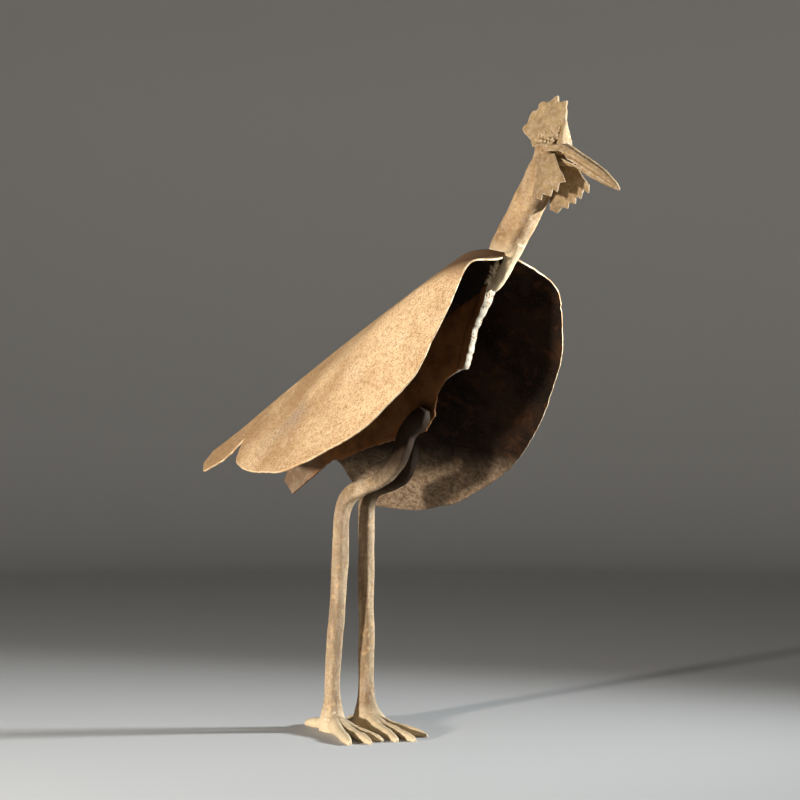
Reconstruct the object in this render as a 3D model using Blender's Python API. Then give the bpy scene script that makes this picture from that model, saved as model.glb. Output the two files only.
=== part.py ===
"""An iron hen, welded from a folded round sheet, an upright plate, a bar for the neck and two forged legs.

Metres, +Z up. The hen looks along +X, and its left is +Y. It stands on its flat soles at z = 0.
"""

import math

import bmesh
import bpy
import numpy as np
from mathutils import Vector
from mathutils.geometry import delaunay_2d_cdt

# The hen starts from a round sheet. Its pose and outlines are drawn in units, 408 of them across that sheet.
SHEET_DIAMETER = 0.408
DRAWN_DIAMETER = 408
UNIT = SHEET_DIAMETER / DRAWN_DIAMETER

# Pieces that touch stand this far apart.
GAP = 0.0003

# Stock: what each piece is cut or forged from.
SHEET_THICKNESS = 0.0024
PLATE_THICKNESS = 0.003
PLATE_EDGE_THICKNESS = 0.0095
PLATE_EDGE_TOP_THICKNESS = 0.0155
PLATE_EDGE_DEPTH = 0.005
PLATE_TAPER_DEPTH = 0.009
NECK_DIAMETER = 0.0295
HEAD_WIDTH = 0.020
COMB_THICKNESS = 0.004
WATTLE_THICKNESS = 0.002
WATTLE_FLARE = 0.0055
BEAK_WIDTH = 0.0148
SHANK_DIAMETER = 0.0165
THIGH_DEPTH = 0.0175
THIGH_WIDTH = 0.0124
LEG_SPREAD = 0.040
TOE_WIDTH = 0.013
TOE_HEIGHT = 0.0105

# The blank is folded over a ridge: u runs forward along the ridge, q is the way from it on the sheet.
SHEET_RADIUS = SHEET_DIAMETER / 2
SHEET_REAR = 7 * UNIT
SHEET_RIPPLE = 1.2 * UNIT
RIDGE_REAR_X = -150 * UNIT
RIDGE_REAR_Z = 309 * UNIT
RIDGE_PITCH = math.radians(26.0)
RIDGE_ARCH = 6.5 * UNIT
RIDGE_ARCH_MIDDLE = 228.5 * UNIT
RIDGE_ARCH_REACH = 235 * UNIT
RIDGE_SINK = 2.2 * UNIT
RIDGE_BEND = 6 * UNIT
NOSE_LENGTH = 52 * UNIT
NOSE_DROP = 27 * UNIT
NOSE_HALF_WIDTH = 100 * UNIT
ROOF_SLOPE_FRONT = math.radians(31.0)
ROOF_SLOPE_REAR = math.radians(46.0)
FLANK_SLOPE_FRONT = math.radians(66.0)
FLANK_SLOPE_REAR = math.radians(50.0)
SLOPE_TURNS_FROM = 102 * UNIT
SLOPE_TURNS_TO = 330 * UNIT
SHOULDER_FROM_RIDGE = 62 * UNIT
SHOULDER_BEND_FRONT = 24 * UNIT
SHOULDER_BEND_REAR = 90 * UNIT
LEAN_FRONT = 0.07
LEAN_REAR = 0.13
LEAN_TURNS_TO = 245 * UNIT

# The blank's cut edge: degrees from straight ahead, and the radius as a share of the sheet's.
RIGHT_EDGE = [(0, 0.993), (16, 1.015), (23, 1.006), (42, 0.987), (52, 1.018), (66, 0.978), (85, 0.948)]
RIGHT_EDGE += [(100, 0.960), (117, 0.925), (135, 0.910)]
LEFT_EDGE = [(0, 0.993), (14, 0.990), (24, 1.046), (36, 1.03), (55, 1.004), (75, 0.977), (98, 0.985)]
LEFT_EDGE += [(112, 1.018), (122, 1.036), (132, 1.028)]
# Behind it, u and q: the wing's rear edge, the slit, and the upper tail, which is narrow on the left.
RIGHT_REAR = [(43, 105), (36, 90), (32, 72), (30, 52), (20, 56), (12, 62), (-8, 60), (-50, 48.5), (-64, 22.5), (-56, 0)]
LEFT_REAR = [(50, 149), (48, 114), (54, 92), (53, 70), (50, 48), (45, 30), (36, 19), (24, 14), (8, 12)]
LEFT_REAR += [(-12, 9), (-36, 7), (-54, 8), (-64.1, 4)]

# The plate, by its way along the ridge line and square to it.
PLATE_TOP_FRONT = 370
PLATE_TOP_REAR = 20
PLATE_FRONT = [(306.1, -94.2), (318.2, -82.4), (332.8, -66.7), (343.3, -59.6), (358.9, -49), (370.3, -38.4)]
LOWER_TAIL = [(22, -30), (40, -72), (29, -79), (34, -97)]
BELLY = [(103, -92), (118, -98), (150, -102), (233.8, -123.7), (242, -119.2), (250.8, -116.1), (255.5, -106.5)]
BELLY += [(262, -99.1), (270.1, -94.6), (278.8, -91.6), (292, -91), (300.3, -91.6)]

# The neck: x, z, how steeply it rises in degrees, and its fore and side halves as shares of half the diameter.
NECK = [(196.5, 430, 55, 0.14, 0.14), (201, 436, 55, 0.41, 0.37), (209, 447, 55, 0.56, 0.54)]
NECK += [(214, 459, 55, 0.80, 0.80), (215, 468, 54, 1.0, 1.0), (224, 480, 53, 1.0, 1.0), (234, 493, 55, 1.0, 1.0)]
NECK += [(243, 507, 57, 1.0, 1.0), (254, 523, 62, 1.0, 1.0), (260.4, 536, 72, 0.94, 0.95), (262.5, 547, 82, 0.70, 0.74)]
HEAD_X = 263.2
HEAD_DEPTH_SHARE = 0.65
CHEEK_SHARE = 0.74

# The comb stands on a line over the head and the beak.
COMB_ROOT_REAR = (248.8, 560.6)
COMB_ROOT_FRONT = (287.7, 557.6)
COMB = [(246.2, 565.8), (239.3, 572), (236.6, 577), (239.8, 580.6), (242.6, 580.8), (244.9, 586), (246.2, 589.1)]
COMB += [(249.9, 591.9), (254.1, 591.3), (256.2, 593.4), (255.9, 594.5), (256.7, 597.1), (260.3, 598.9)]
COMB += [(264.5, 598.3), (266.6, 596.6), (277.8, 601.6), (278, 595.2), (288.5, 595.6), (286.7, 589.9)]
COMB += [(287.7, 586.1), (286.5, 575), (286.9, 561)]

# The beak in side view: the top and bottom of each section, and its width as a share of the whole width.
BEAK = [((264, 559), (264, 540), 0.97), ((277.7, 558.1), (276, 538.5), 1.0), ((287.7, 557.2), (288, 535.5), 1.0)]
BEAK += [((300.5, 549), (298.3, 532.3), 0.98), ((314, 540), (308.7, 523.6), 0.92), ((328.2, 530.1), (318.1, 519), 0.80)]
BEAK += [((337.7, 521.5), (329.7, 513.8), 0.64), ((344, 514.5), (339, 510.5), 0.47), ((346.9, 509.7), (345, 508), 0.24)]
BEAK_SECTION = [(0.35, 1.0), (0.85, 0.8), (1.0, 0.5), (0.85, 0.2), (0.4, 0.0)]
BEAK_SLIT = [(262, 552.5), (282.3, 550.4), (287.3, 548.2), (293.6, 541), (312.3, 530.2)]
BEAK_SLIT += [(311.9, 529.6), (293.7, 539.5), (287, 543), (262, 546)]

RIGHT_WATTLE = [(265.4, 546.5), (282.6, 547.1), (299.7, 518.9), (292.6, 519), (290.8, 510.8)]
RIGHT_WATTLE += [(285.2, 514.9), (283.3, 507.6), (273.8, 511.2), (272.5, 505.3), (263.2, 510.5)]
LEFT_WATTLE = [(265.4, 546.5), (282.6, 547.1), (294, 528.2), (300.4, 520.2), (299.3, 512.8)]
LEFT_WATTLE += [(293.8, 517.2), (290, 508.6), (285, 511.9), (284, 504.8), (276.7, 506.9)]
LEFT_WATTLE += [(274.9, 501.3), (269.3, 503.8), (265.8, 497.7), (259.3, 501.7), (259.8, 515)]

# The thighs: x, z, the way out from the plate's side to the shank's, then depth and width as shares.
RIGHT_THIGH = [(121, 321.5, 0.0, 0.60, 0.80), (116, 313, 0.0, 1.10, 1.35), (101.5, 299, 0.25, 1.05, 1.15)]
RIGHT_THIGH += [(97.5, 284, 0.55, 1.02, 1.05), (93, 271, 0.80, 0.97, 1.0), (84, 260.5, 0.95, 0.93, 1.0)]
RIGHT_THIGH += [(68, 251.5, 1.0, 0.90, 1.0), (49, 245.5, 1.0, 0.90, 1.05)]
LEFT_THIGH = [(97, 322.5, 0.0, 0.60, 0.80), (93, 314, 0.0, 1.10, 1.35), (86.5, 299, 0.06, 1.05, 1.2)]
LEFT_THIGH += [(82, 284, 0.20, 1.02, 1.1), (76, 268, 0.48, 0.97, 1.05), (66.5, 257, 0.77, 0.93, 1.0)]
LEFT_THIGH += [(53, 250.5, 0.95, 0.92, 1.0), (36, 246, 1.0, 0.91, 1.05)]
THIGH_ROOT_OUT = 0.62
# The shanks, from the knee down: x, z, and the fore and side halves as shares of half the diameter.
RIGHT_SHANK = [(33, 239.5, 0.94, 0.95), (23, 230.5, 0.94, 0.97), (17.5, 216, 1.0, 1.0), (15, 172, 1.0, 1.0)]
RIGHT_SHANK += [(12, 130, 1.0, 1.0), (6, 81, 0.97, 0.97), (4, 46, 0.91, 0.97)]
LEFT_SHANK = [(20, 239, 0.95, 0.95), (14, 228, 1.0, 1.0), (12.5, 212, 1.0, 1.0), (12, 170, 1.0, 1.0)]
LEFT_SHANK += [(12, 127, 1.0, 1.0), (12, 78, 0.97, 0.97), (12, 46, 0.91, 0.97)]
ANKLE = [(26, 1.03, 1.12), (11, 1.35, 1.45), (-3, 1.5, 1.55)]
# Where the three toes and the heel end, from under the ankle.
RIGHT_TOES = [(77, -51), (89, -33), (86, -16), (-47, 7)]
LEFT_TOES = [(88, -46), (100, -33), (91, -6), (-42, 15)]
# Along a toe: the share of its length, and its height and width as shares.
TOE = [(0.0, 1.75, 1.15), (0.2, 1.45, 1.1), (0.45, 1.05, 1.0), (0.75, 0.85, 0.95), (0.94, 0.6, 0.7), (1.0, 0.38, 0.4)]
BELOW_FLOOR = 2 * UNIT

# How closely the meshes are drawn.
WIDE_STEP = 22 * UNIT
EDGE_STEPS = 42
NECK_SIDES = 18
NECK_ROWS = 17
LEG_SIDES = 10
LEG_ROWS = 24
TOE_SIDES = 12


def units(points):
    return [tuple(value * UNIT for value in point) for point in points]


def smooth_step(value, low, high):
    """0 below low, 1 above high, an S between them."""
    share = np.clip((value - low) / (high - low), 0.0, 1.0)
    return share * share * (3.0 - 2.0 * share)


def smooth_line(rows, count):
    """count rows on a smooth curve through rows, whose first three columns are a place in space."""
    rows = np.array(rows, float)
    steps = np.sqrt(np.linalg.norm(np.diff(rows[:, :3], axis=0), axis=1))
    knots = np.concatenate([[0.0], np.cumsum(steps)])
    slopes = np.gradient(rows, knots, axis=0)
    line = []
    for knot in np.linspace(0.0, knots[-1], count):
        i = min(np.searchsorted(knots, knot, side="right") - 1, len(knots) - 2)
        span = knots[i + 1] - knots[i]
        t = (knot - knots[i]) / span
        line.append(
            (2 * t**3 - 3 * t**2 + 1) * rows[i]
            + (t**3 - 2 * t**2 + t) * span * slopes[i]
            + (3 * t**2 - 2 * t**3) * rows[i + 1]
            + (t**3 - t**2) * span * slopes[i + 1]
        )
    return np.array(line)


def edge_distance(line, point):
    """How far point is from a line of straight pieces."""
    starts, ends, p = np.array(line[:-1]), np.array(line[1:]), np.array(point)
    along = ends - starts
    share = np.clip(((p - starts) * along).sum(1) / (along**2).sum(1), 0.0, 1.0)
    return np.linalg.norm(starts + along * share[:, None] - p, axis=1).min()


def inside(outline, point, margin):
    """Whether point lies inside outline, at least margin from its edge."""
    if edge_distance(outline + outline[:1], point) < margin:
        return False
    a, p = np.array(outline), np.array(point)
    b = np.roll(a, -1, axis=0)
    spans = (a[:, 1] > p[1]) != (b[:, 1] > p[1])
    rise = np.where(spans, b[:, 1] - a[:, 1], 1.0)
    crossings = a[:, 0] + (p[1] - a[:, 1]) / rise * (b[:, 0] - a[:, 0])
    return bool((spans & (crossings > p[0])).sum() % 2)


def material(name, colour, roughness, metallic):
    made = bpy.data.materials.new(name)
    made.use_nodes = True
    shader = made.node_tree.nodes["Principled BSDF"]
    shader.inputs["Base Color"].default_value = (*colour, 1.0)
    shader.inputs["Roughness"].default_value = roughness
    shader.inputs["Metallic"].default_value = metallic
    return made


def add_object(name, bm, finish, sharp_angle=math.radians(40.0)):
    """Turns the faces of bm outwards and puts it in the scene, under the hen's empty."""
    bmesh.ops.recalc_face_normals(bm, faces=bm.faces)
    mesh = bpy.data.meshes.new(name)
    bm.to_mesh(mesh)
    bm.free()
    mesh.materials.append(finish)
    mesh.shade_smooth()
    mesh.set_sharp_from_angle(angle=sharp_angle)
    made = bpy.data.objects.new(name, mesh)
    bpy.context.scene.collection.objects.link(made)
    made.parent = bpy.data.objects["hen"]
    return made


def combine(target, tool, operation):
    """A Boolean with the exact solver. The tool stays in the scene as a hidden helper."""
    tool.hide_render = True
    tool.display_type = "WIRE"
    modifier = target.modifiers.new(f"{operation.lower()} {tool.name}", "BOOLEAN")
    modifier.operation = operation
    modifier.solver = "EXACT"
    modifier.object = tool


def plate_mesh(outline, inner, place, half_thickness):
    """A closed plate: outline and inner points are flat, place puts a flat point in space with its normal."""
    flat = [Vector(p) for p in outline + inner]
    points, _, faces, *_ = delaunay_2d_cdt(flat, [], [list(range(len(outline)))], 1, 1e-7)
    bm = bmesh.new()
    upper, lower = [], []
    for point in points:
        middle, normal = place(*point)
        shift = normal * half_thickness(*point)
        upper.append(bm.verts.new(middle + shift))
        lower.append(bm.verts.new(middle - shift))
    one_sided = {}
    for face in faces:
        bm.faces.new([upper[i] for i in face])
        bm.faces.new([lower[i] for i in reversed(face)])
        for i, j in zip(face, face[1:] + face[:1]):
            one_sided[(i, j)] = (j, i) not in one_sided
            if not one_sided[(i, j)]:
                one_sided[(j, i)] = False
    for (i, j), on_rim in one_sided.items():
        if on_rim:
            bm.faces.new([lower[i], lower[j], upper[j], upper[i]])
    return bm


def upright_place(x, z):
    return Vector((x, 0.0, z)), Vector((0.0, 1.0, 0.0))


def loft(rings):
    """A closed body through rings of equal count, its two ends filled round their middles."""
    bm = bmesh.new()
    rows = [[bm.verts.new(p) for p in ring] for ring in rings]
    for row, above in zip(rows, rows[1:]):
        for k in range(len(row)):
            n = (k + 1) % len(row)
            bm.faces.new([row[k], row[n], above[n], above[k]])
    for row in (rows[0], rows[-1]):
        middle = bm.verts.new(sum((v.co for v in row), Vector()) / len(row))
        for k in range(len(row)):
            bm.faces.new([row[k], row[(k + 1) % len(row)], middle])
    return bm


def box(name, low, high, finish):
    bm = bmesh.new()
    bmesh.ops.create_cube(bm, size=1.0)
    for vertex in bm.verts:
        vertex.co = Vector(low[k] + (high[k] - low[k]) * (vertex.co[k] + 0.5) for k in range(3))
    return add_object(name, bm, finish)


def ridge_arch(u):
    """How far the ridge lies over the straight ridge line."""
    reach = (u - RIDGE_ARCH_MIDDLE) / RIDGE_ARCH_REACH
    return RIDGE_ARCH * max(0.0, 1.0 - reach * reach) - RIDGE_SINK


def nose_drop(u, q):
    """How far the front of the ridge is hammered down, under the neck."""
    nose = max(0.0, (u - (2 * SHEET_RADIUS - NOSE_LENGTH - SHEET_REAR)) / NOSE_LENGTH)
    return NOSE_DROP * nose * nose * (1.0 - smooth_step(abs(q), 0.0, NOSE_HALF_WIDTH))


def side_point(u, v):
    """The point of the middle plane at u along the ridge line and v above it."""
    x = RIDGE_REAR_X + u * math.cos(RIDGE_PITCH) - v * math.sin(RIDGE_PITCH)
    z = RIDGE_REAR_Z + u * math.sin(RIDGE_PITCH) + v * math.cos(RIDGE_PITCH)
    return Vector((x, 0.0, z))


def sheet_slope(u, q):
    """How steeply the sheet falls to the side, at the distance q from the ridge."""
    front = smooth_step(u, SLOPE_TURNS_FROM, SLOPE_TURNS_TO)
    roof = ROOF_SLOPE_REAR + (ROOF_SLOPE_FRONT - ROOF_SLOPE_REAR) * front
    flank = FLANK_SLOPE_REAR + (FLANK_SLOPE_FRONT - FLANK_SLOPE_REAR) * front
    bend = SHOULDER_BEND_REAR + (SHOULDER_BEND_FRONT - SHOULDER_BEND_REAR) * front
    turned = smooth_step(q, SHOULDER_FROM_RIDGE - bend / 2, SHOULDER_FROM_RIDGE + bend / 2)
    return (roof + (flank - roof) * turned) * np.minimum(1.0, q / RIDGE_BEND)


def sheet_middle(u, q):
    """The sheet's middle surface at u along the ridge and q from it, positive to the left."""
    count = 80
    way = (np.arange(count) + 0.5) / count * abs(q)
    slope = sheet_slope(u, way)
    across = math.copysign(np.cos(slope).mean() * abs(q), q)
    drop = np.sin(slope).mean() * abs(q)
    lean = LEAN_REAR + (LEAN_FRONT - LEAN_REAR) * smooth_step(u, 0.0, LEAN_TURNS_TO)
    v = ridge_arch(u) - nose_drop(u, q) - drop - lean * across
    return side_point(u, v) + Vector((0.0, across, 0.0))


def on_sheet(u, q):
    step = UNIT / 2
    ahead = sheet_middle(u + step, q) - sheet_middle(u - step, q)
    aside = sheet_middle(u, q + step) - sheet_middle(u, q - step)
    return sheet_middle(u, q), ahead.cross(aside).normalized()


def blank_edge(edge, turn, extra=0.0):
    """The cut edge of the blank, by the angle from straight ahead."""
    turns = [math.radians(degrees) for degrees, _ in edge]
    i = max(k for k in range(len(edge) - 1) if k == 0 or turns[k] <= turn)
    share = edge[i][1] + (edge[i + 1][1] - edge[i][1]) * smooth_step(turn, turns[i], turns[i + 1])
    ripple = SHEET_RIPPLE * (math.sin(5.0 * turn) + 0.6 * math.sin(11.0 * turn))
    radius = SHEET_RADIUS * share + ripple + extra
    return SHEET_RADIUS - SHEET_REAR + radius * math.cos(turn), radius * math.sin(turn)


def half_outline(side, edge, rear):
    """One half of the blank, from the front round to the middle of the tail."""
    points = [blank_edge(edge, turn) for turn in np.linspace(0.0, math.radians(edge[-1][0]), EDGE_STEPS)]
    return [(u, side * q) for u, q in points + units(rear)]


def sheet_points(outline, margin):
    """Points inside an outline on the sheet: close together at the ridge, the shoulders and the nose."""
    near_ridge = [0.0, RIDGE_BEND / 2, RIDGE_BEND]
    shoulder = [SHOULDER_FROM_RIDGE + SHOULDER_BEND_FRONT * k for k in (-0.5, -0.25, 0.0, 0.25, 0.5)]
    ways = near_ridge + list(np.linspace(RIDGE_BEND, shoulder[0], 4)[1:-1]) + shoulder
    ways += list(np.linspace(shoulder[-1], 1.06 * SHEET_RADIUS, 9)[1:])
    nose = 2 * SHEET_RADIUS - SHEET_REAR - NOSE_LENGTH
    stations = list(np.linspace(-0.32 * SHEET_RADIUS, nose, 27))
    stations += list(np.linspace(nose, nose + NOSE_LENGTH, 8)[1:])
    points = []
    for u in stations:
        for q in sorted({-way for way in ways} | set(ways)):
            if inside(outline, (u, q), margin):
                points.append((u, q))
    return points


def back_and_wings(finish):
    outline = half_outline(-1, RIGHT_EDGE, RIGHT_REAR) + half_outline(1, LEFT_EDGE, LEFT_REAR)[:0:-1]
    inner = sheet_points(outline, 0.18 * WIDE_STEP)
    bm = plate_mesh(outline, inner, on_sheet, lambda u, q: SHEET_THICKNESS / 2)
    return add_object("back_and_wings", bm, finish)


def plate_half_thickness(u, v):
    """Thick along the front edge and more so at its top, thin elsewhere."""
    front = units(PLATE_FRONT)
    high = smooth_step(u, front[2][0], front[-1][0])
    thick = PLATE_EDGE_THICKNESS + (PLATE_EDGE_TOP_THICKNESS - PLATE_EDGE_THICKNESS) * high
    thin = smooth_step(edge_distance(front, (u, v)), PLATE_EDGE_DEPTH, PLATE_EDGE_DEPTH + PLATE_TAPER_DEPTH)
    return (thick + (PLATE_THICKNESS - thick) * thin) / 2


def body_plate(finish):
    """Its top follows the underside of the ridge, and its front edge carries the neck's foot."""
    front = units(PLATE_FRONT)
    nose = 2 * SHEET_RADIUS - SHEET_REAR - NOSE_LENGTH
    stations = list(np.linspace(PLATE_TOP_FRONT * UNIT, nose, 7))
    stations += list(np.linspace(nose, PLATE_TOP_REAR * UNIT, 19)[1:])
    clear = SHEET_THICKNESS / 2 + 2 * GAP
    top = [(u, ridge_arch(u) - nose_drop(u, 0.0) - clear) for u in stations]
    outline = top + units(LOWER_TAIL) + units(BELLY) + front
    inner = []
    for away in (PLATE_EDGE_DEPTH, PLATE_EDGE_DEPTH + PLATE_TAPER_DEPTH / 2, PLATE_EDGE_DEPTH + PLATE_TAPER_DEPTH):
        for u, v in smooth_line([(*p, 0.0) for p in front], 14)[:, :2]:
            point = (u - away * math.cos(RIDGE_PITCH), v + away * math.sin(RIDGE_PITCH))
            if inside(outline, point, 0.1 * WIDE_STEP):
                inner.append(point)
    for u in np.arange(PLATE_TOP_REAR * UNIT, PLATE_TOP_FRONT * UNIT, WIDE_STEP):
        for v in np.arange(-5 * WIDE_STEP, 0.0, WIDE_STEP):
            if inside(outline, (u, v), 0.45 * WIDE_STEP) and edge_distance(front, (u, v)) > WIDE_STEP:
                inner.append((u, v))

    def place(u, v):
        return side_point(u, v), Vector((0.0, 1.0, 0.0))

    made = add_object("body_plate", plate_mesh(outline, inner, place, plate_half_thickness), finish)
    combine(made, add_object("neck seat in the plate", loft(neck_rings(GAP)), finish), "DIFFERENCE")
    return made


def neck_rings(extra=0.0):
    """The round bar, from its pointed foot in front of the plate up to the head."""
    (rear_x, rear_z), (front_x, front_z) = COMB_ROOT_REAR, COMB_ROOT_FRONT
    fall = (front_z - rear_z) / (front_x - rear_x)
    head_z = rear_z + (HEAD_X - rear_x) * fall - GAP / UNIT
    rows = [(x, z, 0.0, rise, fore, side) for x, z, rise, fore, side in NECK]
    rows.append((HEAD_X, head_z, 0.0, 90.0 + math.degrees(math.atan(fall)), HEAD_DEPTH_SHARE, HEAD_WIDTH / NECK_DIAMETER))
    rings = []
    for x, z, _, rise, fore, side in smooth_line(rows, NECK_ROWS):
        fore = fore * NECK_DIAMETER / 2 + extra
        side = side * NECK_DIAMETER / 2 + extra
        ring = []
        for k in range(NECK_SIDES):
            turn = math.tau * k / NECK_SIDES
            ahead = fore * math.cos(turn)
            lift = math.radians(rise)
            ring.append((x * UNIT + ahead * math.sin(lift), side * math.sin(turn), z * UNIT - ahead * math.cos(lift)))
        rings.append([Vector(p) for p in ring])
    return rings


def neck(finish):
    """The bar is slit at its foot, and the front of the sheet sits in the slit."""
    made = add_object("neck", loft(neck_rings()), finish)
    turns = np.radians(np.linspace(0.0, 8.0, 5))
    outline = [blank_edge(LEFT_EDGE, turn, GAP) for turn in turns[::-1]]
    outline += [(u, -q) for u, q in (blank_edge(RIGHT_EDGE, turn, GAP) for turn in turns[1:])]
    rear = 1.6 * SHEET_RADIUS
    outline += [(rear, -outline[0][1]), (rear, outline[0][1])]
    inner = sheet_points(outline, 0.07 * WIDE_STEP)
    slit = plate_mesh(outline, inner, on_sheet, lambda u, q: SHEET_THICKNESS / 2 + 2 * GAP)
    combine(made, add_object("slit for the sheet", slit, finish), "DIFFERENCE")
    return made


def comb(finish):
    outline = units([COMB_ROOT_REAR] + COMB + [COMB_ROOT_FRONT])
    return add_object("comb", plate_mesh(outline, [], upright_place, lambda x, z: COMB_THICKNESS / 2), finish)


def beak(finish):
    """One bar, split lengthwise from the head to beyond its middle."""
    section = [(aside, up) for aside, up in BEAK_SECTION] + [(-aside, up) for aside, up in BEAK_SECTION[::-1]]
    rings = []
    for top, bottom, wide in BEAK:
        top, bottom = units([top, bottom])
        ring = []
        for aside, up in section:
            x = bottom[0] + (top[0] - bottom[0]) * up
            z = bottom[1] + (top[1] - bottom[1]) * up
            ring.append(Vector((x, aside * wide * BEAK_WIDTH / 2, z)))
        rings.append(ring)
    made = add_object("beak", loft(rings), finish)
    split = plate_mesh(units(BEAK_SLIT), [], upright_place, lambda x, z: BEAK_WIDTH)
    combine(made, add_object("split of the beak", split, finish), "DIFFERENCE")
    combine(made, add_object("neck seat in the beak", loft(neck_rings(GAP)), finish), "DIFFERENCE")
    return made


def wattle(name, side, drawn, finish):
    """A serrated sheet that hangs from the cheek and spreads towards its foot."""
    outline = units(drawn)
    low, high = np.array(outline).min(axis=0), np.array(outline).max(axis=0)
    cheek = CHEEK_SHARE * NECK_DIAMETER / 2 + GAP + WATTLE_THICKNESS / 2

    def place(x, z):
        down = (high[1] - z) / (high[1] - low[1])
        out = cheek + WATTLE_FLARE * math.sin(down * math.pi / 2)
        return Vector((x, side * out, z)), Vector((0.0, 1.0, 0.0))

    inner = [(x, z) for x in np.linspace(low[0], high[0], 6) for z in np.linspace(low[1], high[1], 7)]
    inner = [point for point in inner if inside(outline, point, 0.1 * WIDE_STEP)]
    made = add_object(name, plate_mesh(outline, inner, place, lambda x, z: WATTLE_THICKNESS / 2), finish)
    combine(made, add_object(f"neck seat in {name}", loft(neck_rings(GAP)), finish), "DIFFERENCE")
    return made


def bar(rows, across, sides):
    """A bar through rows of x, y, z and two halves, the second one measured along across."""
    rows = np.array(rows, float)
    rings = []
    for (x, y, z, depth, width), way in zip(rows, np.gradient(rows[:, :3], axis=0)):
        way = Vector(way).normalized()
        aside = (across - way * way.dot(across)).normalized()
        up = way.cross(aside)
        middle = Vector((x, y, z))
        turns = [math.tau * (k + 0.5) / sides for k in range(sides)]
        rings.append([middle + up * depth * math.cos(t) + aside * width * math.sin(t) for t in turns])
    return loft(rings)


def toe(name, ankle, tip, finish):
    """A toe along the floor. It reaches below the floor, where the whole foot is filed flat."""
    start = Vector((*ankle, 0.0))
    way = Vector((*tip, 0.0)) * UNIT
    rows = []
    for along, high, wide in TOE:
        x, y, _ = start + way * along
        half = (high * TOE_HEIGHT + BELOW_FLOOR) / 2
        rows.append((x, y, half - BELOW_FLOOR, half, wide * TOE_WIDTH / 2))
    across = way.cross(Vector((0.0, 0.0, 1.0))).normalized()
    return add_object(name, bar(rows, across, TOE_SIDES), finish)


def leg(name, side, thigh, shank, toes, finish):
    """A forged bar from the plate's side down to the foot, with four toes, filed flat underneath."""
    seat = PLATE_THICKNESS / 2 + GAP
    root = seat + THIGH_ROOT_OUT * THIGH_WIDTH
    rows = []
    for x, z, out, depth, width in thigh:
        y = side * (root + (LEG_SPREAD / 2 - root) * out)
        rows.append((x * UNIT, y, z * UNIT, depth * THIGH_DEPTH / 2, width * THIGH_WIDTH / 2))
    foot_x = shank[-1][0]
    for x, z, depth, width in shank + [(foot_x, *row) for row in ANKLE]:
        y = side * LEG_SPREAD / 2
        rows.append((x * UNIT, y, z * UNIT, depth * SHANK_DIAMETER / 2, width * SHANK_DIAMETER / 2))
    bent = bar(smooth_line(rows, LEG_ROWS), Vector((0.0, 1.0, 0.0)), LEG_SIDES)
    made = add_object(name, bent, finish, math.radians(30.0))
    ankle = (foot_x * UNIT, side * LEG_SPREAD / 2)
    for number, tip in enumerate(toes):
        combine(made, toe(f"{name} toe {number + 1}", ankle, tip, finish), "UNION")
    low, high = (-SHEET_DIAMETER, -SHEET_DIAMETER, -SHEET_DIAMETER), (SHEET_DIAMETER, SHEET_DIAMETER, 0.0)
    combine(made, box(f"{name} floor", low, high, finish), "DIFFERENCE")
    top_x, top_z = thigh[0][0] * UNIT, thigh[0][1] * UNIT
    low = (top_x - 2 * THIGH_DEPTH, -seat, top_z - 2 * THIGH_DEPTH)
    high = (top_x + 2 * THIGH_DEPTH, seat, top_z + 2 * THIGH_DEPTH)
    combine(made, box(f"{name} plate seat", low, high, finish), "DIFFERENCE")
    return made


def clear_parts():
    for found in list(bpy.data.objects):
        bpy.data.objects.remove(found, do_unlink=True)


def stand_on_origin(hen):
    """Moves the whole hen so that the middle of its box's underside is the origin."""
    bpy.context.view_layer.update()
    graph = bpy.context.evaluated_depsgraph_get()
    corners = []
    for piece in hen.children:
        if not piece.hide_render:
            shape = piece.evaluated_get(graph)
            corners += [shape.matrix_world @ Vector(c) for c in shape.bound_box]
    corners = np.array(corners)
    middle = (corners.min(axis=0) + corners.max(axis=0)) / 2
    hen.location = (-middle[0], -middle[1], -corners[:, 2].min())


clear_parts()
HEN = bpy.data.objects.new("hen", None)
bpy.context.scene.collection.objects.link(HEN)
RUST = material("rusted iron sheet", (0.42, 0.27, 0.14), 0.8, 0.3)
DARK = material("dark rusted iron plate", (0.11, 0.06, 0.035), 0.8, 0.3)
FORGED = material("forged iron", (0.40, 0.28, 0.17), 0.75, 0.3)

back_and_wings(RUST)
body_plate(DARK)
neck(FORGED)
comb(FORGED)
beak(FORGED)
wattle("right_wattle", -1, RIGHT_WATTLE, FORGED)
wattle("left_wattle", 1, LEFT_WATTLE, FORGED)
leg("right_leg", -1, RIGHT_THIGH, RIGHT_SHANK, RIGHT_TOES, FORGED)
leg("left_leg", 1, LEFT_THIGH, LEFT_SHANK, LEFT_TOES, FORGED)
stand_on_origin(HEN)
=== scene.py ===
"""How an iron hen looks: rusted sheet, a dark plate between the wings, and forged bars with their welds."""

import math
import random

import bmesh
import bpy
import numpy as np
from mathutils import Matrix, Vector, noise
from mathutils.geometry import delaunay_2d_cdt


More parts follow.
